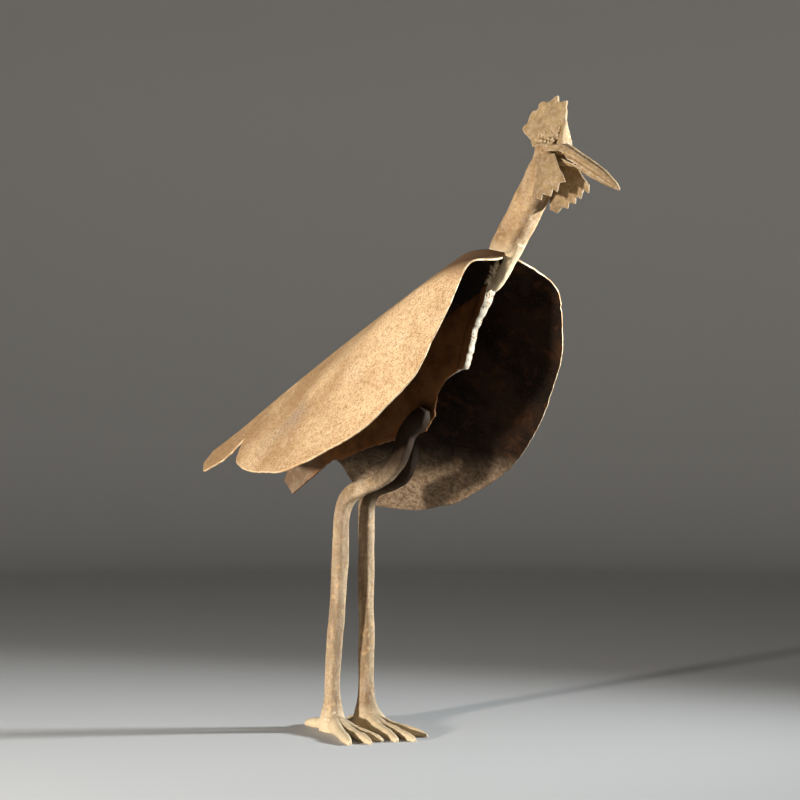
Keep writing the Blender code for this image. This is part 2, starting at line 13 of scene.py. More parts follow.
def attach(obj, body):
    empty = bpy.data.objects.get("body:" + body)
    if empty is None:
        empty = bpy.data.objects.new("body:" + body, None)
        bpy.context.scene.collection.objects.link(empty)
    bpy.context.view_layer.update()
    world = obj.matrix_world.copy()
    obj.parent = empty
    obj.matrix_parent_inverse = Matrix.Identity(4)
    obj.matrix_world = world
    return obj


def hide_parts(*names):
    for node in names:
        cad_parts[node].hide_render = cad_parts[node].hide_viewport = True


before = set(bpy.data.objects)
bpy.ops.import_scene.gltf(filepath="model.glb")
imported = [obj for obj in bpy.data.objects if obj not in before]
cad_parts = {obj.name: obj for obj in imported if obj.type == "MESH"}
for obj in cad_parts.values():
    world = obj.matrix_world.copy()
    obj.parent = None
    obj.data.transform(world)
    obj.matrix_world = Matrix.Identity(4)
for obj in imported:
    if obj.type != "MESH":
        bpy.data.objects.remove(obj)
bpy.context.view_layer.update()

MM = 0.001
# The shapes are drawn in millimetres from between the feet; the hen's own frame lies here in that drawing.
FEET = Vector((-0.07025264, -0.00223704, 0.0))

# The folded sheet: u runs forward along the ridge, q is the way from it on the sheet, left is positive.
SHEET_RADIUS = 204.0
SHEET_REAR = 7.0
SHEET_THICKNESS = 2.4
SHEET_GRAIN = 4.4
# How much a rim is rounded off, and from how far in.
SHEET_ROUNDING, SHEET_ROUND_FROM = 0.45, 1.1
RIDGE_START = (-150.0, 309.0)
RIDGE_PITCH = math.radians(26.0)
NOSE_START = 349.0
NOSE_LENGTH = 52.0
NOSE_DROP = 27.0
SLOPES_FRONT = (math.radians(31.0), math.radians(66.0), 24.0)
SLOPES_REAR = (math.radians(46.0), math.radians(50.0), 90.0)
SHOULDER = 62.0
# Where the front's slopes begin and are full, how far out the ridge is rounded, and steps of reckoning.
FRONT_BEGINS, FRONT_FULL = 102.0, 330.0
RIDGE_ROUNDED = 6.0
FOLD_STEPS = 60
# The ridge rises in an arch over its straight line.
ARCH_MIDDLE, ARCH_REACH, ARCH_RISE, ARCH_SINK = 228.5, 235.0, 6.5, 2.2
# The wings' rims lean back, more so at the rear.
LEAN_REAR, LEAN_LESS, LEAN_REACH = 0.13, 0.06, 245.0
# Dents: size, depth and seed. They fade out towards the ridge.
SHEET_DENTS = [(78.0, 1.1, 0.0), (31.0, 0.42, 5.0), (12.0, 0.10, 9.0)]
DENTS_BEGIN, DENTS_FULL = 9.0, 45.0
EDGE_WAVE = 1.2

# The cut edge: degrees from straight ahead, and the radius as a share. Then the tail feathers by u and q.
RIGHT_EDGE = [(0, 0.993), (16, 1.015), (23, 1.006), (42, 0.987), (52, 1.018), (66, 0.978), (85, 0.948)]
RIGHT_EDGE += [(100, 0.960), (117, 0.925), (135, 0.910)]
LEFT_EDGE = [(0, 0.993), (14, 0.990), (24, 1.046), (36, 1.03), (55, 1.004), (75, 0.977), (98, 0.985)]
LEFT_EDGE += [(112, 1.018), (122, 1.036), (132, 1.028)]
RIGHT_REAR = [(43, 105), (36, 90), (32, 72), (30, 52), (20, 56), (12, 62), (-8, 60)]
RIGHT_REAR += [(-50, 48.5), (-64, 22.5), (-56, 0)]
LEFT_REAR = [(50, 149), (48, 114), (54, 92), (53, 70), (50, 48), (45, 30), (36, 19), (24, 14), (8, 12)]
LEFT_REAR += [(-12, 9), (-36, 7), (-54, 8), (-64.1, 4)]
# Bites out of the sheet's edge: u, q, how deep and how wide.
SHEET_NICKS = [(215, -190, 2.6, 5.0), (396, 62, 1.6, 4.0), (385, 98, 1.8, 3.5), (150, 186, 1.6, 4.0)]

# The upright plate: u along the ridge line and v above it. Its front edge is thick, more so downwards.
PLATE_THICKNESS = 3.0
PLATE_AIR = 0.4
PLATE_GRAIN = 3.2
PLATE_ROUNDING, PLATE_ROUND_FROM = 0.5, 1.5
FRONT_THICKNESS = 9.5
FRONT_THICKENS = 6.0
THICK_REACH = (4.5, 13.0)
PLATE_FRONT = [(306.1, -94.2), (318.2, -82.4), (332.8, -66.7), (343.3, -59.6), (358.9, -49), (370.3, -38.4)]
LOWER_TAIL = [(22, -30), (40, -72), (29, -79), (34, -97)]
BELLY = [(103, -92), (118, -98), (150, -102), (233.8, -123.7), (242, -119.2), (250.8, -116.1)]
BELLY += [(255.5, -106.5), (262, -99.1), (270.1, -94.6), (278.8, -91.6), (292, -91), (300.3, -91.6)]

# The neck: x, z, how steeply it rises, and its fore and side halves.
NECK = [(214.5, 465.5, 76, 14.0, 14.3), (216.5, 469.5, 66, 14.9, 14.9), (224, 480, 54, 14.7, 14.7)]
NECK += [(234, 493, 55, 14.7, 14.7), (243, 507, 57, 14.7, 14.7), (254, 523, 62, 14.7, 14.7)]
NECK += [(260.4, 536, 72, 13.8, 14), (262.5, 547, 82, 10.3, 10.2), (263.2, 559, 86, 9.4, 6.6)]

# The neck is forged a little square, and thinned so that its corners don't stand out.
NECK_SQUARENESS = 2.9
NECK_FLATTED = 0.95

# The neck's front runs on below its cut end as a narrow tongue, in the same columns.
TONGUE = [(200.5, 431, 50, 3.2, 3.4), (204, 435.5, 50, 4.8, 5.2), (212, 444.4, 50, 5.2, 5.8)]
TONGUE += [(219.5, 455, 52, 5.4, 6.4), (226, 465, 54, 6.4, 8.0), (231, 473, 54, 6.4, 8.0)]

# Seams for beads of weld: x, the way out to the side and z. Then pits by x and z, their width and depth.
NECK_SEAM = [(197, 4, 434), (201, 5, 441), (206, 5.5, 449), (211, 6, 457)]
NECK_SEAM_REAR = [(194.5, 3, 437), (198, 3.5, 444), (203, 4, 452)]
NECK_PITS = [(266, 553), (264, 549), (259, 546), (270, 556)]
PIT_WIDTH = 1.3
PIT_DEPTH = 0.9

# The comb's outline by x and z.
COMB = [(248.8, 558.6), (246.2, 565.8), (239.3, 572), (236.6, 577), (239.8, 580.6), (242.6, 580.8)]
COMB += [(244.9, 586), (246.2, 589.1), (249.9, 591.9), (254.1, 591.3), (256.2, 593.4), (255.9, 594.5)]
COMB += [(256.7, 597.1), (260.3, 598.9), (264.5, 598.3), (266.6, 596.6), (277.8, 601.6), (278, 595.2)]
COMB += [(288.5, 595.6), (286.7, 589.9), (287.7, 586.1), (286.5, 575), (286.9, 561), (287.7, 556.6)]
# The wedge on its front edge: z, rear, front and half the width.
COMB_WEDGE = [(556, 279, 288.6, 7.6), (560, 279.5, 288.2, 7.0)]
COMB_WEDGE += [(566, 281, 287.6, 5.2), (577, 283, 287.2, 1.8)]
COMB_HALF, COMB_ROUNDING, COMB_ROUND_FROM = 2.0, 0.7, 0.6
COMB_SEAM = [(254, 1, 559), (258, 3, 558), (263, 4.5, 557), (271, 5.5, 557.5), (279, 6, 559)]
WEDGE_SEAM = [(282, 2.2, 572), (281.5, 4, 567), (281, 5, 563)]
COMB_PITS = [(265, 570), (262, 566), (258, 568), (268.5, 565.5), (264, 562), (282, 577.5), (272, 569)]

# The beak: its upper and its lower edge by x and z, and half the width.
BEAK = [((264, 559), (264, 540), 7.1), ((277.7, 558.1), (276, 538.5), 7.4)]
BEAK += [((287.7, 557.2), (288, 536.5), 7.0), ((300.5, 549), (298.9, 534), 6.4)]
BEAK += [((314, 540), (310, 526.2), 5.9), ((328.2, 530.1), (320.6, 520.4), 5.0)]
BEAK += [((337.7, 521.5), (331, 514.7), 4.0), ((344, 514.5), (339.6, 510.8), 3.0)]
BEAK += [((346.9, 509.7), (345.2, 508.2), 1.5)]
# Half of its outline: how far out and how far up, with a crease along the side.
BEAK_SECTION = [(0.35, 1.0), (0.88, 0.90), (1.0, 0.60), (0.80, 0.47), (1.0, 0.36), (0.85, 0.14), (0.4, 0.0)]
# The wedge that is cut out between its halves, by x and z, and how far it reaches to each side.
SPLIT_REACH = 15
BEAK_SPLIT = [(262, 552.5), (282.3, 550.4), (287.3, 548.2), (293.6, 541), (312.3, 530.2)]
BEAK_SPLIT += [(311.9, 529.6), (293.7, 539.5), (287, 543), (262, 546)]

# The wattles by x and z. They start on the neck's side, swing out downwards, and tuck in at the rear.
WATTLE_ROOT, WATTLE_SWING, WATTLE_TUCK, WATTLE_REAR = 10.6, 6.9, 6.5, 13.0
WATTLE_HALF = 1.0
RIGHT_WATTLE = [(258, 547), (282.6, 547.6), (299.7, 518.9), (292.6, 519), (290.8, 510.8), (285.2, 514.9)]
RIGHT_WATTLE += [(283.3, 507.6), (273.8, 511.2), (272.5, 505.3), (263.2, 510.5), (257, 511)]
LEFT_WATTLE = [(262, 552.5), (281, 552), (294, 528.2), (300.4, 520.2), (299.3, 512.8)]
LEFT_WATTLE += [(293.8, 517.2), (290, 508.6), (285, 511.9), (284, 504.8), (276.7, 506.9)]
LEFT_WATTLE += [(274.9, 501.3), (269.3, 503.8), (265.8, 497.7), (259.3, 501.7), (259.8, 515)]

# The legs: x, the way out from the plate, z, and the fore and side halves, from the plate down to the sole.
RIGHT_LEG = [(121, 9.5, 321.5, 5.3, 5.0), (116, 9.5, 313, 9.6, 8.4), (101.5, 12.1, 299, 9.2, 7.1)]
RIGHT_LEG += [(97.5, 15.3, 284, 8.9, 6.5), (93, 17.9, 271, 8.5, 6.2), (84, 19.5, 260.5, 8.1, 6.2)]
RIGHT_LEG += [(68, 20, 251.5, 7.9, 6.2), (49, 20, 245.5, 7.9, 6.5), (33, 20, 239.5, 7.8, 7.8)]
RIGHT_LEG += [(23, 20, 230.5, 7.8, 8.0), (17.5, 20, 216, 8.2, 8.2), (15, 20, 172, 8.2, 8.2)]
RIGHT_LEG += [(12, 20, 130, 8.2, 8.2), (6, 20, 81, 8, 8)]
RIGHT_LEG += [(4, 20, 46, 7.5, 8), (4, 20, 26, 8.5, 9.2), (4, 20, 11, 11.1, 12), (4, 20, -3, 12.4, 12.8)]
LEFT_LEG = [(97, 9.5, 322.5, 5.3, 5.0), (93, 9.5, 314, 9.6, 8.4), (86.5, 10.1, 299, 9.2, 7.4)]
LEFT_LEG += [(82, 11.6, 284, 8.9, 6.8), (76, 14.5, 268, 8.5, 6.5), (66.5, 17.6, 257, 8.1, 6.2)]
LEFT_LEG += [(53, 19.5, 250.5, 8.1, 6.2), (36, 20, 246, 8.0, 6.5), (20, 20, 239, 7.8, 7.8)]
LEFT_LEG += [(14, 20, 228, 8.2, 8.2), (12.5, 20, 212, 8.2, 8.2), (12, 20, 170, 8.2, 8.2)]
LEFT_LEG += [(12, 20, 127, 8.2, 8.2), (12, 20, 78, 8, 8)]
LEFT_LEG += [(12, 20, 46, 7.5, 8), (12, 20, 26, 8.5, 9.2), (12, 20, 11, 11.1, 12), (12, 20, -3, 12.4, 12.8)]
# The shanks are drawn in a little between the ankle and the bend.
SHANK_FORE_LESS, SHANK_SIDE_LESS = 0.07, 0.14
# Above this height, in metres, a leg's inner side lies flat against the plate.
ROOT_HEIGHT = 0.27
ROOT_SEAT = 1.6
# Where the toes end, from the middle of the foot.
RIGHT_TOES = [(77, -51), (89, -33), (86, -16), (-47, 7)]
LEFT_TOES = [(88, -46), (100, -33), (91, -6), (-42, 15)]
# The welded cones round the ankles: how far ahead of the shank, z, and half the width.
RIGHT_ANKLE = [(0, 34, 7.3), (0.5, 22, 8.5), (2, 13, 11.0), (3, 6, 14.5), (4, -3, 18)]
LEFT_ANKLE = [(0, 40, 7.3), (0.5, 27, 9.2), (2, 16, 13.0), (4, 8, 18.0), (5, -3, 23)]
# Beads of weld round an ankle, on its right: ahead, the way to the right and z.
ANKLE_SEAM = [(-9, 7, 10), (0, 11, 12), (9, 10, 12), (14, 0, 12)]
ANKLE_SEAM_HIGH = [(-6, 7, 19), (2, 9, 20), (9, 6, 19)]
# A toe: the share of its length, its height and half its width.
TOE = [(0.0, 18.4, 7.8), (0.2, 15.0, 6.8), (0.45, 10.8, 5.9)]
TOE += [(0.75, 8.4, 5.4), (0.94, 5.6, 3.8), (1.0, 3.4, 2.0)]
TOE_SUNK = 2.0


# Shapes

def ease(value, low, high):
    """0 below low, 1 above high, an S between them."""
    share = np.clip((value - low) / (high - low), 0.0, 1.0)
    return share * share * (3.0 - 2.0 * share)


def smooth_line(rows, count):
    """count rows on a smooth curve through rows, whose first three columns are a place."""
    rows = np.array(rows, float)
    knots = np.concatenate([[0.0], np.cumsum(np.sqrt(np.linalg.norm(np.diff(rows[:, :3], axis=0), axis=1)))])
    slopes = np.gradient(rows, knots, axis=0)
    line = []
    for knot in np.linspace(0.0, knots[-1], count):
        i = min(np.searchsorted(knots, knot, side="right") - 1, len(knots) - 2)
        span = knots[i + 1] - knots[i]
        t = (knot - knots[i]) / span
        ahead = (2 * t**3 - 3 * t**2 + 1) * rows[i] + (t**3 - 2 * t**2 + t) * span * slopes[i]
        line.append(ahead + (3 * t**2 - 2 * t**3) * rows[i + 1] + (t**3 - t**2) * span * slopes[i + 1])
    return np.array(line)


def walk(outline, step):
    """An outline's corners with further points between them, about step apart."""
    points = []
    for (x0, y0), (x1, y1) in zip(outline, outline[1:] + outline[:1]):
        count = max(1, round(math.hypot(x1 - x0, y1 - y0) / step))
        points += [(x0 + (x1 - x0) * k / count, y0 + (y1 - y0) * k / count) for k in range(count)]
    return points


def edge_way(outline, points):
    """How far each point is from a closed outline, and whether it lies inside."""
    a = np.array(outline, float)
    b = np.roll(a, -1, axis=0)
    along = b - a
    reach = np.zeros(len(points))
    within = np.zeros(len(points), bool)
    for start in range(0, len(points), 2000):
        p = np.array(points[start:start + 2000], float)[:, None, :]
        share = np.clip(((p - a) * along).sum(2) / np.maximum((along**2).sum(1), 1e-9), 0.0, 1.0)
        gap = np.linalg.norm(a + along * share[..., None] - p, axis=2)
        reach[start:start + 2000] = gap.min(1)
        spans = (a[:, 1] > p[..., 1]) != (b[:, 1] > p[..., 1])
        rise = np.where(b[:, 1] == a[:, 1], 1.0, b[:, 1] - a[:, 1])
        crossing = a[:, 0] + (p[..., 1] - a[:, 1]) / rise * along[:, 0]
        within[start:start + 2000] = (spans & (crossing > p[..., 0])).sum(1) % 2 == 1
    return reach, within


def inner_points(outline, rings, grid, margin):
    """Points inside an outline: rings just inside its edge, and a grid beyond margin."""
    a = np.array(outline, float)
    way = np.roll(a, -1, axis=0) - np.roll(a, 1, axis=0)
    way /= np.maximum(np.linalg.norm(way, axis=1), 1e-9)[:, None]
    turn = 1.0 if (a[:, 0] * np.roll(a[:, 1], -1) - np.roll(a[:, 0], -1) * a[:, 1]).sum() > 0 else -1.0
    inward = np.stack([-way[:, 1], way[:, 0]], axis=1) * turn
    kept = []
    for ring in rings:
        near = [tuple(p) for p in a + inward * ring]
        reach, within = edge_way(outline, near)
        kept += [p for p, r, w in zip(near, reach, within) if w and r > 0.93 * ring]
    low, high = a.min(0), a.max(0)
    stagger = 0.0
    lattice = []
    for y in np.arange(low[1], high[1], grid * 0.866):
        stagger = grid / 2 - stagger
        lattice += [(x, y) for x in np.arange(low[0] + stagger, high[0], grid)]
    reach, within = edge_way(outline, lattice)
    kept += [p for p, r, w in zip(lattice, reach, within) if w and r > margin]
    return kept


def plate_skin(outline, inner, place, half_thickness):
    """A closed plate: place gives flat points their places and normals. Each keeps its way to the edge."""
    flat = [Vector(p) for p in list(outline) + list(inner)]
    points, _, faces, *_ = delaunay_2d_cdt(flat, [], [list(range(len(outline)))], 1, 1e-6)
    points = [(p.x, p.y) for p in points]
    reach, _ = edge_way(outline, points)
    middle, normal = place(np.array(points))
    half = half_thickness(np.array(points), reach)[:, None]
    bm = bmesh.new()
    edge = bm.verts.layers.float.new("from_edge")
    upper = [bm.verts.new(p) for p in middle + normal * half]
    lower = [bm.verts.new(p) for p in middle - normal * half]
    for vertex, away in zip(upper + lower, np.concatenate([reach, reach])):
        vertex[edge] = away
    seen = set()
    for face in faces:
        bm.faces.new([upper[i] for i in face]).material_index = 0
        bm.faces.new([lower[i] for i in reversed(face)]).material_index = 1
        seen.update(zip(face, face[1:] + face[:1]))
    for i, j in seen:
        if (j, i) not in seen:
            bm.faces.new([lower[i], lower[j], upper[j], upper[i]]).material_index = 2
    return bm


def ridge_arch(u):
    """How far the ridge stands above its straight line."""
    reach = (u - ARCH_MIDDLE) / ARCH_REACH
    return ARCH_RISE * np.maximum(0.0, 1.0 - reach * reach) - ARCH_SINK


def nose_drop(u, q):
    """How far the front of the sheet bends down."""
    nose = np.maximum(0.0, (u - NOSE_START) / NOSE_LENGTH)
    return NOSE_DROP * nose * nose * (1.0 - ease(np.abs(q), 0.0, 100.0))


def side_place(u, v):
    """In space, the point of the middle plane at u along the ridge line and v above it."""
    x = RIDGE_START[0] + u * math.cos(RIDGE_PITCH) - v * math.sin(RIDGE_PITCH)
    z = RIDGE_START[1] + u * math.sin(RIDGE_PITCH) + v * math.cos(RIDGE_PITCH)
    return np.stack([x, 0.0 * x, z], axis=-1)


def sheet_middle(u, q):
    """The folded sheet before it is dented: the slopes are added up from the ridge out to q."""
    way = (np.arange(FOLD_STEPS) + 0.5) / FOLD_STEPS * np.abs(q)[:, None]
    front = ease(u, FRONT_BEGINS, FRONT_FULL)[:, None]
    roof, flank, bend = (rear + (fore - rear) * front for rear, fore in zip(SLOPES_REAR, SLOPES_FRONT))
    slope = roof + (flank - roof) * ease(way, SHOULDER - bend / 2, SHOULDER + bend / 2)
    slope = slope * np.minimum(1.0, way / RIDGE_ROUNDED)
    across = np.cos(slope).mean(1) * q
    drop = np.sin(slope).mean(1) * np.abs(q)
    lean = LEAN_REAR - LEAN_LESS * ease(u, 0.0, LEAN_REACH)
    placed = side_place(u, ridge_arch(u) - nose_drop(u, q) - drop - lean * across)
    placed[:, 1] = across
    return placed


def waves(points, size, seed=0.0):
    """Smooth noise, -1 to 1, with bumps about size across."""
    return np.array([noise.noise(Vector(p) / size + Vector((seed, seed * 0.7, 3.1))) for p in points])


def on_sheet(points):
    """Points and normals on the sheet, with its gentle dents away from the ridge."""
    u, q = points[:, 0], points[:, 1]
    ahead = sheet_middle(u + 0.5, q) - sheet_middle(u - 0.5, q)
    aside = sheet_middle(u, q + 0.5) - sheet_middle(u, q - 0.5)
    normal = np.cross(ahead, aside)
    normal /= np.linalg.norm(normal, axis=1)[:, None]
    flat = np.column_stack([points, 0.0 * u])
    dents = sum(deep * waves(flat, size, seed) for size, deep, seed in SHEET_DENTS)
    share = ease(np.abs(q), DENTS_BEGIN, DENTS_FULL)
    middle = sheet_middle(u, q) + normal * (dents * share)[:, None]
    return in_hen(middle), normal


def in_hen(points):
    """Drawn millimetres in the hen's own frame, in metres."""
    return np.asarray(points) * MM + np.array(FEET)


def blank_edge(edge, turn):
    """The point of the round blank's cut edge at a turn from straight ahead."""
    turns = [math.radians(degrees) for degrees, _ in edge]
    i = max(k for k in range(len(edge) - 1) if k == 0 or turns[k] <= turn)
    share = edge[i][1] + (edge[i + 1][1] - edge[i][1]) * float(ease(turn, turns[i], turns[i + 1]))
    radius = SHEET_RADIUS * share + EDGE_WAVE * (math.sin(5.0 * turn) + 0.6 * math.sin(11.0 * turn))
    return SHEET_RADIUS - SHEET_REAR + radius * math.cos(turn), radius * math.sin(turn)


def half_outline(side, edge, rear):
    points = [blank_edge(edge, turn) for turn in np.linspace(0.0, math.radians(edge[-1][0]), 150)]
    return [(u, side * q) for u, q in points] + [(u, side * q) for u, q in rear]


# Mesh work

def evened(values, a, b, rounds):
    """Values on the points of a mesh, each taken to the mean of its neighbours some times over."""
    count = len(values)
    links = np.maximum(np.bincount(a, minlength=count) + np.bincount(b, minlength=count), 1)
    for _ in range(rounds):
        sums = [np.bincount(a, column[b], count) + np.bincount(b, column[a], count) for column in values.T]
        values = np.column_stack(sums) / links[:, None]
    return values


def keep_swell(mesh):
    """Keeps how far each point stands out of its surroundings, in mm: lumps more, hollows less."""
    count = len(mesh.vertices)
    places, normals, pairs = np.empty(count * 3), np.empty(count * 3), np.empty(len(mesh.edges) * 2, int)
    mesh.vertices.foreach_get("co", places)
    mesh.vertices.foreach_get("normal", normals)
    mesh.edges.foreach_get("vertices", pairs)
    a, b = pairs.reshape(-1, 2).T
    places, normals = places.reshape(-1, 3), normals.reshape(-1, 3)
    proud = ((places - evened(places, a, b, 6)) * normals).sum(1, keepdims=True) / MM
    swell = proud - evened(proud, a, b, 40)
    mesh.attributes.new("swell", "FLOAT", "POINT").data.foreach_set("value", swell[:, 0])


def loose_body(name, bm):
    """A mesh as an object in the scene, its faces turned outwards."""
    bmesh.ops.recalc_face_normals(bm, faces=bm.faces)
    mesh = bpy.data.meshes.new(name)
    bm.to_mesh(mesh)
    bm.free()
    made = bpy.data.objects.new(name, mesh)
    bpy.context.scene.collection.objects.link(made)
    return made


def settle(name, bm, finishes, node):
    """Puts a mesh in the scene as a piece of the hen, in the place of a plain solid."""
    made = loose_body(name, bm)
    for finish in finishes:
        made.data.materials.append(finish)
    made.data.shade_smooth()
    keep_swell(made.data)
    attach(made, "root")
    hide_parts(node)


def add_shell(bm, rings):
    """A closed skin over rings of points, flat at both ends."""
    rows = [[bm.verts.new(p) for p in ring] for ring in rings]
    for row, above in zip(rows, rows[1:]):
        for k in range(len(row)):
            n = (k + 1) % len(row)
            bm.faces.new([row[k], row[n], above[n], above[k]])
    bm.faces.new(rows[0][::-1])
    bm.faces.new(rows[-1])


def bar_rings(rows, across, sides, squareness=2.0):
    """Rings along rows of x, y, z and two halves; squareness 2 is round, more is boxier."""
    rows = np.array(rows, float)
    rings = []
    for (x, y, z, depth, width), way in zip(rows, np.gradient(rows[:, :3], axis=0)):
        way = Vector(way).normalized()
        aside = (across - way * way.dot(across)).normalized()
        up = way.cross(aside)
        ring = []
        for k in range(sides):
            turn = math.tau * (k + 0.5) / sides
            c, s = math.cos(turn), math.sin(turn)
            swell = (abs(c)**squareness + abs(s)**squareness) ** (-1.0 / squareness)
            ring.append(Vector(in_hen((x, y, z))) + (up * depth * c + aside * width * s) * swell * MM)
        rings.append(ring)
    return rings


def weld_bead(bm, path, size, drops, seed):
    """Drops of weld along a path of drawn points, to be melted in with what is round them."""
    chance = random.Random(seed)
    for place in smooth_line(path, drops):
        jitter = [chance.uniform(-0.5, 0.5) * size for _ in range(3)]
        middle = Vector(in_hen(place + np.array(jitter)))
        radius = size * chance.uniform(0.55, 1.1)
        drop = bmesh.ops.create_icosphere(bm, subdivisions=2, radius=radius * MM)
        for vertex in drop["verts"]:
            vertex.co += middle


def on_side(path, side):
    """A seam's points on the right, -1, or the left, 1."""
    return [(x, side * out, z) for x, out, z in path]


def peck(bm, spots):
    """Narrow slanting pits in both sides of a flat or round piece, at drawn x and z."""
    for vertex in bm.verts:
        x, y, z = (vertex.co - FEET) / MM
        for at_x, at_z in spots:
            aside, above = x - at_x, z - at_z
            near = 1.0 - math.hypot(1.5 * aside + 0.5 * above, 0.7 * above) / PIT_WIDTH
            if near > 0.0:
                vertex.co.y -= math.copysign(min(abs(y), PIT_DEPTH * near**0.5), y) * MM


def melt(bm, voxel, smoothing=2):
    """Rough closed bodies become one closed skin."""
    mesh = bpy.data.meshes.new("rough")
    bm.to_mesh(mesh)
    bm.free()
    rough = bpy.data.objects.new("rough", mesh)
    bpy.context.scene.collection.objects.link(rough)
    remesh = rough.modifiers.new("one skin", "REMESH")
    remesh.mode = "VOXEL"
    remesh.voxel_size = voxel * MM
    soften = rough.modifiers.new("soften", "SMOOTH")
    soften.factor = 0.5
    soften.iterations = smoothing
    graph = bpy.context.evaluated_depsgraph_get()
    skin = bmesh.new()
    skin.from_mesh(rough.evaluated_get(graph).to_mesh())
    bpy.data.objects.remove(rough, do_unlink=True)
    bpy.data.meshes.remove(mesh)
    return skin


def hammer(bm, marks, grain=(1.0, 1.0, 1.0)):
    """Moves each point along its normal: marks are (size, depth, seed) in mm, grain stretches them."""
    bm.normal_update()
    moved = []
    for vertex in bm.verts:
        at = Vector(c / MM / g for c, g in zip(vertex.co, grain))
        depth = sum(deep * noise.noise(at / size + Vector((seed, 0.0, seed))) for size, deep, seed in marks)
        moved.append(vertex.normal * depth * MM)
    for vertex, move in zip(bm.verts, moved):
        vertex.co += move


# Finishes

DULL_GLOSS = 0.08


class Shade:
    """One value in a finish's nodes. Sums with it add Math nodes."""

    def __init__(self, finish, socket):
        self.finish, self.socket = finish, socket

    def reckon(self, operation, *values):
        return self.finish.node("ShaderNodeMath", {"operation": operation}, dict(enumerate(values)))

    def __add__(self, other):
        return self.reckon("ADD", self, other)

    def __sub__(self, other):
        return self.reckon("SUBTRACT", self, other)

    def __rsub__(self, other):
        return self.reckon("SUBTRACT", other, self)

    def __mul__(self, other):
        return self.reckon("MULTIPLY", self, other)

    __radd__ = __add__
    __rmul__ = __mul__

    def between(self, low, high):
        """0 at low, 1 at high, smooth and held outside them."""
        values = {"Value": self, "From Min": low, "From Max": high}
        return self.finish.node("ShaderNodeMapRange", {"interpolation_type": "SMOOTHSTEP"}, values)


class Finish:
    """A material whose nodes are written out below."""

    def __init__(self, name):
        self.material = bpy.data.materials.new(name)
        self.material.use_nodes = True
        self.tree = self.material.node_tree
        self.surface = self.tree.nodes["Principled BSDF"]
        self.surface.inputs["Specular IOR Level"].default_value = DULL_GLOSS
        self.place = self.node("ShaderNodeTexCoord", {}, {}, "Object")

    def node(self, kind, settings, values, out=0):
        """A node of a kind, its settings first, then the values or links of its sockets."""
        made = self.tree.nodes.new(kind)
        for key, value in settings.items():
            setattr(made, key, value)
        for key, value in values.items():
            self.put(made.inputs[key], value)
        return Shade(self, made.outputs[out])

    def put(self, socket, value):
        if isinstance(value, Shade):
            self.tree.links.new(value.socket, socket)
        else:
            socket.default_value = value

    def noise(self, size, detail=3.0, rough=0.55, lengths=(1.0, 1.0, 1.0), twist=0.0, shift=0.0):
        """Noise, 0 to 1, with spots about size mm across, and longer along an axis where lengths says so."""
        at = self.place
        if lengths != (1.0, 1.0, 1.0) or shift:
            scale = tuple(1.0 / length for length in lengths)
            moved = {"Vector": at, "Location": (shift, shift, shift), "Scale": scale}
            at = self.node("ShaderNodeMapping", {}, moved)
        values = {"Vector": at, "Scale": 1.0 / (size * MM), "Detail": detail}
        values.update({"Roughness": rough, "Distortion": twist})
        return self.node("ShaderNodeTexNoise", {}, values)

    def near(self, spot, inner, outer):
        """1 within inner of a spot, 0 beyond outer, in metres."""
        ends = {0: self.place, 1: spot}
        way = self.node("ShaderNodeVectorMath", {"operation": "DISTANCE"}, ends, "Value")
        return 1.0 - way.between(inner, outer)

    def mix(self, share, under, over):
        """Two colours, under where share is 0 and over where it is 1."""
        under, over = ((*c, 1.0) if isinstance(c, tuple) else c for c in (under, over))
        return self.node("ShaderNodeMix", {"data_type": "RGBA"}, {0: share, 6: under, 7: over}, 2)

    def along(self, axis):
        return self.node("ShaderNodeSeparateXYZ", {}, {0: self.place}, axis)

    def kept(self, name):
        """A value that the mesh keeps at each of its points."""
        return self.node("ShaderNodeAttribute", {"attribute_name": name}, {}, "Fac")

    def bump(self, height, depth):
        """A normal from a height of 0 to 1 that stands for depth mm."""
        return self.node("ShaderNodeBump", {}, {"Height": height, "Distance": depth * MM, "Strength": 1.0})

    def done(self, colour, roughness, metallic, normal):
        values = {"Base Color": colour, "Roughness": roughness, "Metallic": metallic, "Normal": normal}
        for name, value in values.items():
            self.put(self.surface.inputs[name], value)
        return self.material


# Rust and soot, for all the pieces
GOLD = (0.63, 0.437, 0.245)
OCHRE = (0.43, 0.27, 0.135)
STRAW = (0.68, 0.515, 0.33)
UMBER = (0.19, 0.085, 0.030)
SOOT = (0.030, 0.014, 0.007)
CHESTNUT = (0.112, 0.044, 0.014)
EMBER = (0.22, 0.075, 0.018)
ASH = (0.36, 0.27, 0.19)
CLAY = (0.50, 0.335, 0.175)

# The sheet, from outside to inside
# Painted shade: the sheet browner towards the ridge, where it turns away from the light.
PAINTED_RIDGE_SHADE = (0.30, 0.175, 0.080)
# Painted shade on the nose's front band, which faces away from the key light.
PAINTED_NOSE_SHADE = (0.115, 0.062, 0.036)
CUT_TAN = (0.58, 0.45, 0.28)
CUT_BROWN = (0.36, 0.21, 0.095)
# Painted shade on the inside, near black with red-brown patches, where the near wing's shadow falls.
PAINTED_SHADE_BLACK = (0.005, 0.0026, 0.0012)
PAINTED_SHADE_BROWN = (0.018, 0.0078, 0.0030)
PAINTED_SHADE_RED = (0.062, 0.021, 0.006)
SKIRT_BROWN = (0.115, 0.072, 0.041)
SKIRT_GREY = (0.215, 0.150, 0.095)
SKIRT_TAN = (0.27, 0.180, 0.098)
BRUISE = (-0.064, -0.073, 0.314)
BRUISE_TRAIL = (-0.092, -0.083, 0.288)

# The upright plate
BELLY_BROWN = (0.20, 0.082, 0.027)
TAIL_BROWN = (0.115, 0.078, 0.047)
TAIL_GREY = (0.185, 0.132, 0.085)
FRONT_SILVER = (0.37, 0.325, 0.25)
FRONT_TAN = (0.27, 0.19, 0.11)

